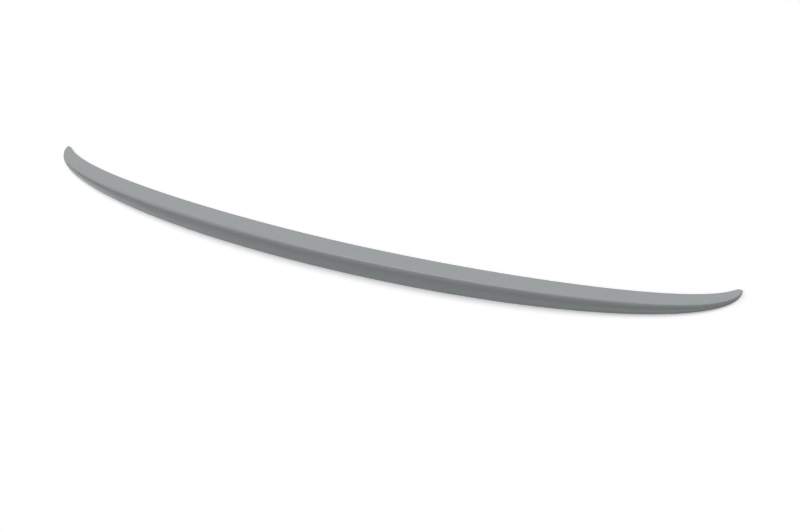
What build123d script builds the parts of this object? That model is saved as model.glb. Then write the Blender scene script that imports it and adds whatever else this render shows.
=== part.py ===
from build123d import *
import os
from math import cos, pi, radians, sin, tan

# Boot-lid lip spoiler: one moulded piece, ribbed and open underneath, flat where it is bonded on.
# Frame: +X to the right seen from behind the car, +Y to the car's front, +Z up, in millimetres.
# The origin lies on the bonding face, below the middle of the trailing edge.

# Trailing edge in plan: half an ellipse, whose tips sweep forward along the boot lid
HALF_WIDTH = 600.0
SWEEP = 152.6

# Section at the middle of the lip, square to the trailing edge
CHORD = 58.3  # trailing corner to leading edge
HEIGHT = 25.7  # trailing corner above the bonding face, before it is rounded
CREASE_RUN = 9.0  # the crease's rounding starts this far from the corner on both faces
UNDERCUT = 9.0  # degrees that the rear face leans in below the crease
REAR_BEND = 0.82  # share of the height below the corner where the rear face bends out to its foot
FOOT_FLARE = 7.0  # foot of the rear face behind the trailing corner
TOP_HOLLOW = 0.6  # how far the top face is curved in
LEADING_EDGE = 3.0  # thickness of the leading edge
NOSE_RUN = 1.2  # same as the crease's run, at the leading edge

# How the section fades to the tips: (1 - share ** power) ** (1 / root), by share of the half length
CHORD_FADE = (2.39, 2.03)
HEIGHT_FADE = (2.76, 1.03)
TIP_HEIGHT = 2.0  # thickness left at the blunt tips
TIP_LEADING_EDGE = 1.5
TIP_PLACE = 0.001  # last section, as a share of the whole length in from the end of the ellipse

# Hollow underside: an even wall, with bonding lands left along the front and the rear
WALL = 3.0
FRONT_LAND = 10.0
REAR_EDGE = 5.0  # rear edge of the hollow, in front of the trailing corner
INNER_RUN = 3.4  # rounding of the hollow's upper corner
HOLLOW_REACH = 0.8  # share of the half length where the hollow ends
RIB_COUNT = 13
RIB_THICKNESS = 2.0
RIB_LIFT = 1.0  # rib edges stay clear of the bonding face

# Every section runs on below the bonding face and is trimmed flat there
TRIM = 4.0
ARCS_PER_CORNER = 4  # a rounded corner is drawn as short arcs, which loft into gently turning strips
OUTER_STATIONS = 24
HOLLOW_STATIONS = 14

trailing_edge = EllipticalCenterArc((0, SWEEP), HALF_WIDTH, SWEEP, start_angle=180, arc_size=180)


def fade(place, power, root):
    """Size left at a place along the trailing edge, from 0 and 1 at the tips to 0.5 at the middle."""
    share = abs(2 * place - 1)
    return (1 - share**power) ** (1 / root)


def section_plane(place):
    """Upright plane square to the trailing edge: x runs inward from the edge, y runs up."""
    along = trailing_edge.tangent_at(place)
    inward = Vector(-along.Y, along.X, 0)
    return Plane(origin=trailing_edge.position_at(place), x_dir=inward, z_dir=along)


def section_points(place):
    """Foot, bend of the rear face, trailing corner, bend of the top face, and leading edge."""
    wide = fade(place, *CHORD_FADE)
    height = TIP_HEIGHT + (HEIGHT - TIP_HEIGHT) * fade(place, *HEIGHT_FADE)
    drop = REAR_BEND * height
    foot = Vector(-FOOT_FLARE * height / HEIGHT, 0)
    rear_bend = Vector(drop * tan(radians(UNDERCUT)), height - drop)
    corner = Vector(0, height)
    nose = Vector(CHORD * wide, TIP_LEADING_EDGE + (LEADING_EDGE - TIP_LEADING_EDGE) * wide)
    down = Vector(nose.Y - corner.Y, corner.X - nose.X).normalized()
    top_bend = (corner + nose) / 2 + down * 2 * TOP_HOLLOW * wide
    return foot, rear_bend, corner, top_bend, nose


def rounding(before, corner, after, run):
    """Short arcs that round a corner, starting a run away from it on both sides."""
    start = corner + (before - corner).normalized() * run
    end = corner + (after - corner).normalized() * run
    arc = TangentArc(start, end, tangent=corner - start)
    steps = [i / ARCS_PER_CORNER for i in range(ARCS_PER_CORNER + 1)]
    return [arc.trim(first, last) for first, last in zip(steps, steps[1:])]


def outer_section(place):
    """Wedge with a hollow rear face, a rounded crease and a thin rounded nose."""
    foot, rear_bend, corner, top_bend, nose = section_points(place)
    front_foot = Vector(nose.X, -TRIM)
    crease = rounding(rear_bend, corner, top_bend, CREASE_RUN * corner.Y / HEIGHT)
    leading_edge = rounding(top_bend, nose, front_foot, NOSE_RUN * nose.X / CHORD)
    outline = [
        Bezier(foot, rear_bend, crease[0] @ 0),
        *crease,
        Bezier(crease[-1] @ 1, top_bend, leading_edge[0] @ 0),
        *leading_edge,
        Polyline(leading_edge[-1] @ 1, front_foot, (foot.X, -TRIM), foot),
    ]
    return section_plane(place) * make_face(outline)


def hollow_section(place):
    """Space under the wall, between the two bonding lands."""
    _, rear_bend, corner, top_bend, nose = section_points(place)
    rear = Vector(REAR_EDGE, -TRIM)
    front = nose.X - FRONT_LAND
    down_rear = (rear_bend - corner).normalized()
    down_top = (top_bend - corner).normalized()
    half_angle = radians(down_rear.get_angle(down_top)) / 2
    upper = corner + (down_rear + down_top).normalized() * WALL / sin(half_angle)
    lower = Vector(front, upper.Y + (front - upper.X) * (nose.Y - corner.Y) / nose.X)
    ridge = rounding(rear, upper, lower, INNER_RUN)
    outline = [
        *ridge,
        Polyline(ridge[-1] @ 1, lower, (front, -TRIM), rear, ridge[0] @ 0),
    ]
    return section_plane(place) * make_face(outline)


def rib(place):
    """Cross plate that ties the top to both lands."""
    plate = Box(CHORD, HEIGHT, RIB_THICKNESS)
    return section_plane(place) * Pos(CHORD / 2, RIB_LIFT + HEIGHT / 2, 0) * plate


def lip():
    """Outer body trimmed flat, less the hollow between its ribs."""
    spread = [(1 - cos(pi * i / OUTER_STATIONS)) / 2 for i in range(1, OUTER_STATIONS)]
    outer_places = [TIP_PLACE, *spread, 1 - TIP_PLACE]
    body = loft([outer_section(place) for place in outer_places])
    body = split(body, Plane.XY, keep=Keep.TOP)

    first = (1 - HOLLOW_REACH) / 2
    hollow_places = [first + HOLLOW_REACH * i / HOLLOW_STATIONS for i in range(HOLLOW_STATIONS + 1)]
    hollow = loft([hollow_section(place) for place in hollow_places])
    pitch = HOLLOW_REACH / (RIB_COUNT + 1)
    ribs = [rib(first + pitch * (i + 1)) for i in range(RIB_COUNT)]
    return body - (hollow - ribs)


os.makedirs("parts", exist_ok=True)
export_step(lip(), "parts/lip_spoiler.step")
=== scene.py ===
import math

import bpy
from mathutils import Matrix, Vector


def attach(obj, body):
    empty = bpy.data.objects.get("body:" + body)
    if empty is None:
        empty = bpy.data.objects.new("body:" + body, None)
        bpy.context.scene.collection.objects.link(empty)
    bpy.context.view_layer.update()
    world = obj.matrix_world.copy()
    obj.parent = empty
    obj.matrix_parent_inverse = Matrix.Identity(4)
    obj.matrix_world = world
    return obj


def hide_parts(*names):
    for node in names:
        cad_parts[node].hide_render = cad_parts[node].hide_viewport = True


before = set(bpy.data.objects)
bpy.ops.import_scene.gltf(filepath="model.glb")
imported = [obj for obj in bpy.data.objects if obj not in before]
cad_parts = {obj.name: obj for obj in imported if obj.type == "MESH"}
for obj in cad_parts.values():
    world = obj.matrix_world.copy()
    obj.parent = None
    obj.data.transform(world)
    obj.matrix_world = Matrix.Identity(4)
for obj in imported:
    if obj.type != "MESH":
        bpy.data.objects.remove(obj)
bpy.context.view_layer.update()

# Photograph's view
VIEW_AZIMUTH = 18.88  # degrees to the right of straight behind
VIEW_ELEVATION = 42.0
VIEW_DISTANCE = 1.244
LENS_MM = 36.0
SENSOR_MM = 36.0
IMAGE_WIDTH = 800
ORIGIN_RIGHT_PX = -64.7  # where the lip's origin falls, right of the image centre
ORIGIN_UP_PX = -1.8

# Studio
FLOOR_SIZE = 40.0
FLOOR_BOUNCE = (0.68, 0.68, 0.68, 1.0)  # what the table throws back on the lip
FLOOR_LIFT = 0.13  # plain white added where the camera or a reflection sees the table
SOFT_LIGHTS = {  # degrees from overhead, compass heading from +X, strength
    "front": (40.0, 104.0, 1.98),
    "left": (65.0, 190.0, 1.74),
    "right rear": (62.0, 315.0, 1.08),
}
SOFTNESS = math.radians(30)
WHITE = (1.0, 1.0, 1.0, 1.0)

# Lip: the section's sizes at the middle in metres, and how they fade to the tips
LIP = {
    "half width": 0.600,
    "sweep": 0.1526,
    "chord": 0.0583,
    "height": 0.0257,
    "crease run": 0.009,
    "undercut": 9.0,  # degrees
    "rear bend": 0.82,  # share of the height
    "foot flare": 0.007,
    "foot run": 0.0008,
    "top hollow": 0.0006,
    "leading edge": 0.003,
    "nose run": 0.0012,
    "front foot run": 0.0006,
    "chord power": 2.39,
    "chord root": 2.03,
    "height power": 2.76,
    "height root": 1.03,
    "tip height": 0.002,
    "tip leading edge": 0.0015,
    "tip place": 0.001,  # share of the trailing edge
    "tip round": 0.0015,
    "wall": 0.003,
    "front land": 0.010,
    "rear edge": 0.005,
    "ridge run": 0.0034,
    "hollow reach": 0.80,  # share of the trailing edge
    "rib thickness": 0.002,
    "rib lift": 0.001,
}
RIB_COUNT = 13
BAY_STATIONS = 13  # sections between two ribs
TIP_STATIONS = 46  # sections from a tip to the first bay
TIP_CROWDING = 2.5  # how closely they crowd towards the tip
STATION_COUNT = 2 * TIP_STATIONS + (RIB_COUNT + 1) * BAY_STATIONS + 2 * RIB_COUNT
SECTION_STRETCHES = 15  # rounded, curved or straight stretches round the section
UNDERSIDE_START = 7  # first stretch that lies underneath
HOLLOW_SPAN = (8, 14)  # stretches at whose start the hollow begins and ends
RIB_SPAN = (9, 13)  # stretches at whose start a rib's lower edge begins and ends
STEPS = 8  # points in each stretch
SECTION_POINTS = SECTION_STRETCHES * STEPS + 1
EDGE_POINTS = 2000  # points along the trailing edge
WELD = 0.000004
SHARP_ANGLE = math.radians(30)

# Grey primer
PRIMER_THIN = (0.257, 0.276, 0.283, 1.0)
PRIMER_FULL = (0.273, 0.292, 0.299, 1.0)
PASS_WIDTH = 0.025
PASS_STRETCH = 6.0
PASS_DETAIL = 3.0
BARE_PLASTIC = (0.1, 0.105, 0.11, 1.0)
OVERSPRAY_PATCH = 0.012
OVERSPRAY_GAPS = (0.1, 0.45)  # least and most bare plastic inside the hollow
PRIMER_ROUGHNESS = (0.42, 0.58)
DULL_PATCH = 0.018
PATCH_DETAIL = 4.0
PEEL_WIDTH = 0.0014
PEEL_HEIGHT = 0.00005
PEEL_DETAIL = 2.0


class Field:
    """A number or vector that the nodes work out at every point; each arithmetic sign adds a node."""

    def __init__(self, socket):
        self.socket = socket

    @property
    def is_vector(self):
        return self.socket.type == "VECTOR"

    def __add__(self, other):
        return maths("ADD", self, other)

    __radd__ = __add__

    def __sub__(self, other):
        return maths("SUBTRACT", self, other)

    def __rsub__(self, other):
        return maths("SUBTRACT", other, self)

    def __mul__(self, other):
        if self.is_vector:
            return maths("SCALE", self, other)
        return maths("MULTIPLY", self, other)

    __rmul__ = __mul__

    def __truediv__(self, other):
        if self.is_vector:
            return maths("SCALE", self, 1.0 / other)
        return maths("DIVIDE", self, other)

    def __rtruediv__(self, other):
        return maths("DIVIDE", other, self)

    def __pow__(self, other):
        return maths("POWER", self, other)


def feed(entry, value):
    """Link a field to a socket, or set a plain value on it."""
    if isinstance(value, Field):
        entry.id_data.links.new(value.socket, entry)
    else:
        entry.default_value = value


def maths(operation, *values):
    """Field from one maths node, of numbers or of vectors."""
    fields = [value for value in values if isinstance(value, Field)]
    nodes = fields[0].socket.id_data.nodes
    if not any(field.is_vector for field in fields):
        node = nodes.new("ShaderNodeMath")
        node.operation = operation
        for entry, value in zip(node.inputs, values):
            feed(entry, value)
        return Field(node.outputs["Value"])
    node = nodes.new("ShaderNodeVectorMath")
    node.operation = operation
    feed(node.inputs[0], values[0])
    if operation == "SCALE":
        feed(node.inputs["Scale"], values[1])
    elif len(values) > 1:
        feed(node.inputs[1], values[1])
    return Field(node.outputs["Value" if operation == "DOT_PRODUCT" else "Vector"])


def spot(inward, up):
    """Point of the section, inward from the trailing edge and up from the bonding face."""
    some = inward if isinstance(inward, Field) else up
    node = some.socket.id_data.nodes.new("ShaderNodeCombineXYZ")
    feed(node.inputs["X"], inward)
    feed(node.inputs["Z"], up)
    return Field(node.outputs["Vector"])


def parts_of(vector):
    """The three numbers of a vector."""
    node = vector.socket.id_data.nodes.new("ShaderNodeSeparateXYZ")
    feed(node.inputs["Vector"], vector)
    return [Field(output) for output in node.outputs]


def direction(start, end):
    """Unit vector from one point to another."""
    return maths("NORMALIZE", end - start)


def between(start, end, share):
    """Point or number a share of the way from start to end."""
    return start + (end - start) * share


def choose(condition, if_true, if_false):
    """One of two fields, by whether the condition is 1 or 0."""
    node = condition.socket.id_data.nodes.new("GeometryNodeSwitch")
    node.input_type = "VECTOR" if if_true.is_vector else "FLOAT"
    feed(node.inputs["Switch"], condition)
    feed(node.inputs["True"], if_true)
    feed(node.inputs["False"], if_false)
    return Field(node.outputs["Output"])


def pick(index, options):
    """The option that an index points to."""
    node = index.socket.id_data.nodes.new("GeometryNodeIndexSwitch")
    node.data_type = "VECTOR" if options[0].is_vector else "FLOAT"
    while len(node.index_switch_items) < len(options):
        node.index_switch_items.new()
    feed(node.inputs["Index"], index)
    for number, option in enumerate(options):
        feed(node.inputs[1 + number], option)
    return Field(node.outputs["Output"])


def blend_colours(share, first, second):
    """Colour between two others."""
    node = share.socket.id_data.nodes.new("ShaderNodeMix")
    node.data_type = "RGBA"
    entries = [entry for entry in node.inputs if entry.enabled]
    for entry, value in zip(entries, (share, first, second)):
        feed(entry, value)
    return Field(next(output for output in node.outputs if output.enabled))


def straight(start, end):
    """Stretch of the section: start, control point, end and the control point's weight."""
    return start, between(start, end, 0.5), end, 1.0


def rounded(before, corner, after, run):
    """Round stretch at a corner, which starts a run away from it on both sides."""
    back = direction(corner, before)
    ahead = direction(corner, after)
    weight = maths("SQRT", (1.0 - maths("DOT_PRODUCT", back, ahead)) * 0.5)
    return corner + back * run, corner, corner + ahead * run, weight


def stations(number, size, edge_length):
    """Place of each numbered section, whether it is a tip's or a rib's, and how full it is at its end."""
    last = STATION_COUNT - 1
    from_tip = maths("MINIMUM", number, last - number)
    first = (1.0 - size["hollow reach"]) * 0.5
    pitch = size["hollow reach"] / (RIB_COUNT + 1)
    half_rib = size["rib thickness"] * 0.5 / edge_length

    tip_share = from_tip / (TIP_STATIONS - 1)
    tip_place = between(size["tip place"], first, tip_share**TIP_CROWDING)

    in_bays = from_tip - TIP_STATIONS
    cycle = BAY_STATIONS + 2
    bay = maths("FLOOR", (in_bays + 0.5) / cycle)
    step = in_bays - bay * cycle
    bay_start = first + bay * pitch + half_rib * maths("MINIMUM", bay, 1.0)
    bay_end = first + (bay + 1.0) * pitch - half_rib
    bay_place = between(bay_start, bay_end, step / (BAY_STATIONS - 1))
    rib_place = bay_end + half_rib * 2.0 * (step - BAY_STATIONS)

    is_tip = maths("LESS_THAN", in_bays, -0.5)
    is_rib = maths("GREATER_THAN", step, BAY_STATIONS - 0.5) * (1.0 - is_tip)
    place = choose(is_tip, tip_place, choose(is_rib, rib_place, bay_place))
    from_end = (place - size["tip place"]) * edge_length / size["tip round"]
    near_end = maths("MINIMUM", from_end, 1.0)
    fullness = maths("SQRT", near_end * (2.0 - near_end))
    is_right = maths("GREATER_THAN", number, last * 0.5)
    place = choose(is_right, 1.0 - place, place)
    return place, is_tip, is_rib, fullness


def section_outline(place, size):
    """Stretches of the section at a place, ends of the hollow's mouth and of a rib's edge, and middle."""
    share = maths("ABSOLUTE", place * 2.0 - 1.0)
    wide = (1.0 - share ** size["chord power"]) ** (1.0 / size["chord root"])
    fade = (1.0 - share ** size["height power"]) ** (1.0 / size["height root"])
    height = between(size["tip height"], size["height"], fade)
    tall = height / size["height"]

    # Outer corners and bends
    drop = size["rear bend"] * height
    nose_x = size["chord"] * wide
    foot_x = size["foot flare"] * tall * -1.0
    foot = spot(foot_x, 0.0)
    rear_bend = spot(drop * maths("TANGENT", maths("RADIANS", size["undercut"])), height - drop)
    corner = spot(0.0, height)
    nose = spot(nose_x, between(size["tip leading edge"], size["leading edge"], wide))
    inward, _, up = parts_of(direction(corner, nose))
    top_bend = between(corner, nose, 0.5) + spot(up, inward * -1.0) * (size["top hollow"] * wide * 2.0)
    front_foot = spot(nose_x, 0.0)

    # Hollow: its mouth on the bonding face, and the ridge and front of its roof
    middle = (nose_x + foot_x) * 0.5
    front_x = maths("MAXIMUM", nose_x - size["front land"], middle)
    rear_x = maths("MINIMUM", size["rear edge"], middle)
    mouth_front = spot(front_x, 0.0)
    mouth_rear = spot(rear_x, 0.0)
    to_rear = direction(corner, rear_bend)
    to_nose = direction(corner, top_bend)
    half_sine = maths("SQRT", (1.0 - maths("DOT_PRODUCT", to_rear, to_nose)) * 0.5)
    ridge = corner + maths("NORMALIZE", to_rear + to_nose) * (size["wall"] / half_sine)
    ridge_x, _, ridge_z = parts_of(ridge)
    roof_front = spot(front_x, ridge_z + (front_x - ridge_x) * (up / inward))
    lift_front = spot(front_x, size["rib lift"])
    lift_rear = between(mouth_rear, ridge, size["rib lift"] / ridge_z)

    # From the foot over the top and back along the underside
    rear_foot_round = rounded(mouth_rear, foot, rear_bend, size["foot run"] * tall)
    crease = rounded(rear_bend, corner, top_bend, size["crease run"] * tall)
    leading_edge = rounded(top_bend, nose, front_foot, size["nose run"] * wide)
    front_foot_round = rounded(nose, front_foot, mouth_front, size["front foot run"] * wide)
    ridge_round = rounded(roof_front, ridge, mouth_rear, size["ridge run"])
    stretches = [
        rear_foot_round,
        (rear_foot_round[2], rear_bend, crease[0], 1.0),
        crease,
        (crease[2], top_bend, leading_edge[0], 1.0),
        leading_edge,
        straight(leading_edge[2], front_foot_round[0]),
        front_foot_round,
        straight(front_foot_round[2], mouth_front),
        straight(mouth_front, lift_front),
        straight(lift_front, roof_front),
        straight(roof_front, ridge_round[0]),
        ridge_round,
        straight(ridge_round[2], lift_rear),
        straight(lift_rear, mouth_rear),
        straight(mouth_rear, rear_foot_round[0]),
    ]
    return stretches, (mouth_front, mouth_rear), (lift_front, lift_rear), spot(middle, 0.0)


def point_on(stretches, point):
    """Where a numbered point of the section lies, and the number of its stretch."""
    stretch = maths("MINIMUM", maths("FLOOR", (point + 0.5) / STEPS), SECTION_STRETCHES - 1.0)
    along = (point - stretch * STEPS) / STEPS
    start, control, end, weight = [pick(stretch, options) for options in zip(*stretches)]
    ahead = 1.0 - along
    pull = weight * along * ahead * 2.0
    curve = start * (ahead * ahead) + control * pull + end * (along * along)
    return curve / (ahead * ahead + pull + along * along), stretch


def across(point, span, ends):
    """Whether a numbered point lies in a span of stretches, and its place on a straight line across it."""
    first, last = span
    share = (point - first * STEPS) / ((last - first) * STEPS)
    inside = maths("LESS_THAN", maths("ABSOLUTE", share - 0.5), 0.5)
    return inside, between(*ends, share)


def section(place, point, size, is_tip, is_rib, fullness):
    """Point of the section at a place, with the hollow closed at the tips and bridged at the ribs."""
    stretches, mouth, rib_edge, middle = section_outline(place, size)
    curve, stretch = point_on(stretches, point)
    in_bridge, bridge = across(point, RIB_SPAN, rib_edge)
    in_hollow, flat = across(point, HOLLOW_SPAN, mouth)
    curve = choose(is_rib * in_bridge, bridge, curve)
    curve = choose(is_tip * in_hollow, flat, curve)
    return between(middle, curve, fullness), stretch


def trailing_edge(tree, size):
    """Half ellipse that the lip's trailing edge follows, and its length."""
    new = tree.nodes.new
    link = tree.links.new
    arc = new("GeometryNodeCurveArc")
    arc.inputs["Resolution"].default_value = EDGE_POINTS
    arc.inputs["Radius"].default_value = 1.0
    arc.inputs["Start Angle"].default_value = math.pi
    arc.inputs["Sweep Angle"].default_value = math.pi
    plan_size = new("ShaderNodeCombineXYZ")
    feed(plan_size.inputs["X"], size["half width"])
    feed(plan_size.inputs["Y"], size["sweep"])
    plan_centre = new("ShaderNodeCombineXYZ")
    feed(plan_centre.inputs["Y"], size["sweep"])
    ellipse = new("GeometryNodeTransform")
    link(arc.outputs["Curve"], ellipse.inputs["Geometry"])
    link(plan_size.outputs["Vector"], ellipse.inputs["Scale"])
    link(plan_centre.outputs["Vector"], ellipse.inputs["Translation"])
    length = new("GeometryNodeCurveLength")
    link(ellipse.outputs["Geometry"], length.inputs["Curve"])
    return ellipse.outputs["Geometry"], Field(length.outputs["Length"])


def finished_skin(tree, skin, material):
    """Skin with its seams welded, shaded smooth between sharp edges, and painted."""
    new = tree.nodes.new
    link = tree.links.new
    weld = new("GeometryNodeMergeByDistance")
    weld.inputs["Distance"].default_value = WELD
    link(skin, weld.inputs["Geometry"])
    smooth = new("GeometryNodeSetShadeSmooth")
    smooth.domain = "FACE"
    smooth.inputs["Shade Smooth"].default_value = True
    link(weld.outputs["Geometry"], smooth.inputs["Geometry"])
    angle = Field(new("GeometryNodeInputMeshEdgeAngle").outputs["Unsigned Angle"])
    sharp = new("GeometryNodeSetShadeSmooth")
    sharp.domain = "EDGE"
    sharp.inputs["Shade Smooth"].default_value = False
    feed(sharp.inputs["Selection"], maths("GREATER_THAN", angle, SHARP_ANGLE))
    link(smooth.outputs["Geometry"], sharp.inputs["Geometry"])
    realize = new("GeometryNodeRealizeInstances")
    link(sharp.outputs["Geometry"], realize.inputs["Geometry"])
    paint = new("GeometryNodeSetMaterial")
    paint.inputs["Material"].default_value = material
    link(realize.outputs["Geometry"], paint.inputs["Geometry"])
    return paint.outputs["Geometry"]


def lip_nodes(material):
    """Node tree that skins the lip's section along its swept trailing edge."""
    tree = bpy.data.node_groups.new("lip_skin", "GeometryNodeTree")
    tree.interface.new_socket("Geometry", in_out="OUTPUT", socket_type="NodeSocketGeometry")
    for name in LIP:
        tree.interface.new_socket(name, in_out="INPUT", socket_type="NodeSocketFloat")
    new = tree.nodes.new
    link = tree.links.new
    given = new("NodeGroupInput")
    size = {name: Field(given.outputs[name]) for name in LIP}

    # Every point of the grid is a numbered point of a numbered section
    ellipse, edge_length = trailing_edge(tree, size)
    index = Field(new("GeometryNodeInputIndex").outputs["Index"])
    number = maths("FLOOR", (index + 0.5) / SECTION_POINTS)
    point = index - number * SECTION_POINTS
    place, is_tip, is_rib, fullness = stations(number, size, edge_length)
    local, stretch = section(place, point, size, is_tip, is_rib, fullness)

    # Each section stands square to the trailing edge
    edge = new("GeometryNodeSampleCurve")
    edge.mode = "FACTOR"
    link(ellipse, edge.inputs["Curves"])
    feed(edge.inputs["Factor"], place)
    along_x, along_y, _ = parts_of(maths("NORMALIZE", Field(edge.outputs["Tangent"])))
    inward, _, up = parts_of(local)
    turn = new("ShaderNodeCombineXYZ")
    feed(turn.inputs["X"], along_y * inward * -1.0)
    feed(turn.inputs["Y"], along_x * inward)
    feed(turn.inputs["Z"], up)

    grid = new("GeometryNodeMeshGrid")
    grid.inputs["Vertices X"].default_value = STATION_COUNT
    grid.inputs["Vertices Y"].default_value = SECTION_POINTS
    bend = new("GeometryNodeSetPosition")
    link(grid.outputs["Mesh"], bend.inputs["Geometry"])
    feed(bend.inputs["Position"], Field(edge.outputs["Position"]) + Field(turn.outputs["Vector"]))
    underside = new("GeometryNodeStoreNamedAttribute")
    underside.data_type = "FLOAT"
    underside.domain = "POINT"
    underside.inputs["Name"].default_value = "underside"
    feed(underside.inputs["Value"], maths("GREATER_THAN", stretch, UNDERSIDE_START - 0.5))
    link(bend.outputs["Geometry"], underside.inputs["Geometry"])
    skin = finished_skin(tree, underside.outputs["Geometry"], material)
    link(skin, new("NodeGroupOutput").inputs["Geometry"])
    return tree


def lip_piece(material):
    """Finished lip: the node tree's mesh at the frame's origin."""
    tree = lip_nodes(material)
    maker = bpy.data.objects.new("lip_maker", bpy.data.meshes.new("lip_maker"))
    bpy.context.scene.collection.objects.link(maker)
    modifier = maker.modifiers.new("lip_skin", "NODES")
    modifier.node_group = tree
    for item in tree.interface.items_tree:
        if item.in_out == "INPUT":
            modifier[item.identifier] = LIP[item.name]
    bpy.context.view_layer.update()
    graph = bpy.context.evaluated_depsgraph_get()
    mesh = bpy.data.meshes.new_from_object(maker.evaluated_get(graph), depsgraph=graph)
    mesh.name = "lip_shell"
    mesh.materials.pop(index=0)  # the empty slot that the grid node leaves
    bpy.data.objects.remove(maker)
    piece = bpy.data.objects.new("lip_shell", mesh)
    bpy.context.scene.collection.objects.link(piece)
    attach(piece, "root")
    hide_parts("lip_spoiler")


def photo_camera():
    """Camera at the photograph's angle, placed so that the lip's origin falls on its own pixel."""
    azimuth = math.radians(VIEW_AZIMUTH)
    elevation = math.radians(VIEW_ELEVATION)
    back = Vector((
        math.sin(azimuth) * math.cos(elevation),
        -math.cos(azimuth) * math.cos(elevation),
        math.sin(elevation),
    ))
    right = Vector((math.cos(azimuth), math.sin(azimuth), 0.0))
    up = back.cross(right)
    metres_per_pixel = VIEW_DISTANCE * SENSOR_MM / LENS_MM / IMAGE_WIDTH
    data = bpy.data.cameras.new("photo_camera")
    data.lens = LENS_MM
    data.sensor_width = SENSOR_MM
    data.sensor_fit = "HORIZONTAL"
    camera = bpy.data.objects.new("photo_camera", data)
    place = back * VIEW_DISTANCE - right * ORIGIN_RIGHT_PX * metres_per_pixel
    place -= up * ORIGIN_UP_PX * metres_per_pixel
    turn = Matrix((right, up, back)).transposed()
    camera.matrix_world = Matrix.Translation(place) @ turn.to_4x4()
    bpy.context.scene.collection.objects.link(camera)
    bpy.context.scene.camera = camera


def seen_directly(nodes):
    """1 for rays from the camera, a reflection or glass, and 0 for light that a surface passes on."""
    ray = nodes.new("ShaderNodeLightPath")
    camera, glossy, clear = [
        Field(ray.outputs[kind]) for kind in ("Is Camera Ray", "Is Glossy Ray", "Is Transmission Ray")
    ]
    return maths("MAXIMUM", camera, maths("MAXIMUM", glossy, clear))


def white_floor():
    """White table that the lip lies on; the camera and reflections see it a little whiter."""
    half = FLOOR_SIZE / 2
    mesh = bpy.data.meshes.new("floor")
    corners = [(-half, -half, 0.0), (half, -half, 0.0), (half, half, 0.0), (-half, half, 0.0)]
    mesh.from_pydata(corners, [], [(0, 1, 2, 3)])
    floor = bpy.data.objects.new("floor", mesh)
    material = bpy.data.materials.new("white_table")
    material.use_nodes = True
    nodes = material.node_tree.nodes
    link = material.node_tree.links.new
    nodes.remove(nodes["Principled BSDF"])
    seen = seen_directly(nodes)
    table_top = nodes.new("ShaderNodeBsdfDiffuse")
    feed(table_top.inputs["Color"], blend_colours(seen, FLOOR_BOUNCE, WHITE))
    lift = nodes.new("ShaderNodeEmission")
    feed(lift.inputs["Strength"], seen * FLOOR_LIFT)
    surface = nodes.new("ShaderNodeAddShader")
    link(table_top.outputs["BSDF"], surface.inputs[0])
    link(lift.outputs["Emission"], surface.inputs[1])
    link(surface.outputs["Shader"], nodes["Material Output"].inputs["Surface"])
    mesh.materials.append(material)
    bpy.context.scene.collection.objects.link(floor)


def studio_light():
    """Wide soft lights from three sides of the table."""
    for name, (tilt, heading, strength) in SOFT_LIGHTS.items():
        data = bpy.data.lights.new(name, "SUN")
        data.energy = strength
        data.angle = SOFTNESS
        light = bpy.data.objects.new(name, data)
        light.rotation_euler = (0.0, math.radians(tilt), math.radians(heading))
        bpy.context.scene.collection.objects.link(light)


def white_surroundings():
    """World that looks white; the light on the lip comes from the soft lights alone."""
    world = bpy.data.worlds.new("studio_white")
    world.use_nodes = True
    nodes = world.node_tree.nodes
    backdrop = nodes["Background"]
    backdrop.inputs["Color"].default_value = WHITE
    feed(backdrop.inputs["Strength"], seen_directly(nodes))
    bpy.context.scene.world = world


def blotches(place, width, detail):
    """Noise over a surface, in blotches of about the given width."""
    node = place.socket.id_data.nodes.new("ShaderNodeTexNoise")
    node.inputs["Scale"].default_value = 1.0 / width
    node.inputs["Detail"].default_value = detail
    feed(node.inputs["Vector"], place)
    return Field(node.outputs["Fac"])


def primer():
    """Sprayed grey primer: mottled along the spray passes, finely peeled, and thin inside the hollow."""
    material = bpy.data.materials.new("sprayed_primer")
    material.use_nodes = True
    nodes = material.node_tree.nodes
    shader = nodes["Principled BSDF"]
    place = Field(nodes.new("ShaderNodeTexCoord").outputs["Object"])

    # Each spray pass runs along the lip, so its mottling is drawn out that way
    passes = maths("MULTIPLY", place, (1.0 / PASS_STRETCH, 1.0, 1.0))
    coat = blend_colours(blotches(passes, PASS_WIDTH, PASS_DETAIL), PRIMER_THIN, PRIMER_FULL)

    # Inside the hollow the coat is patchy, and the moulding's darker plastic shows through
    underside = nodes.new("ShaderNodeAttribute")
    underside.attribute_name = "underside"
    gaps = between(*OVERSPRAY_GAPS, blotches(place, OVERSPRAY_PATCH, PATCH_DETAIL))
    bare = Field(underside.outputs["Fac"]) * gaps
    feed(shader.inputs["Base Color"], blend_colours(bare, coat, BARE_PLASTIC))

    # Dry overspray makes some places duller, and the sprayed coat is finely peeled
    dull = between(*PRIMER_ROUGHNESS, blotches(place, DULL_PATCH, PATCH_DETAIL))
    feed(shader.inputs["Roughness"], dull)
    peel = nodes.new("ShaderNodeBump")
    peel.inputs["Distance"].default_value = PEEL_HEIGHT
    feed(peel.inputs["Height"], blotches(place, PEEL_WIDTH, PEEL_DETAIL))
    feed(shader.inputs["Normal"], Field(peel.outputs["Normal"]))
    return material


photo_camera()
white_floor()
studio_light()
white_surroundings()
lip_piece(primer())
bpy.context.scene.view_settings.view_transform = "Standard"
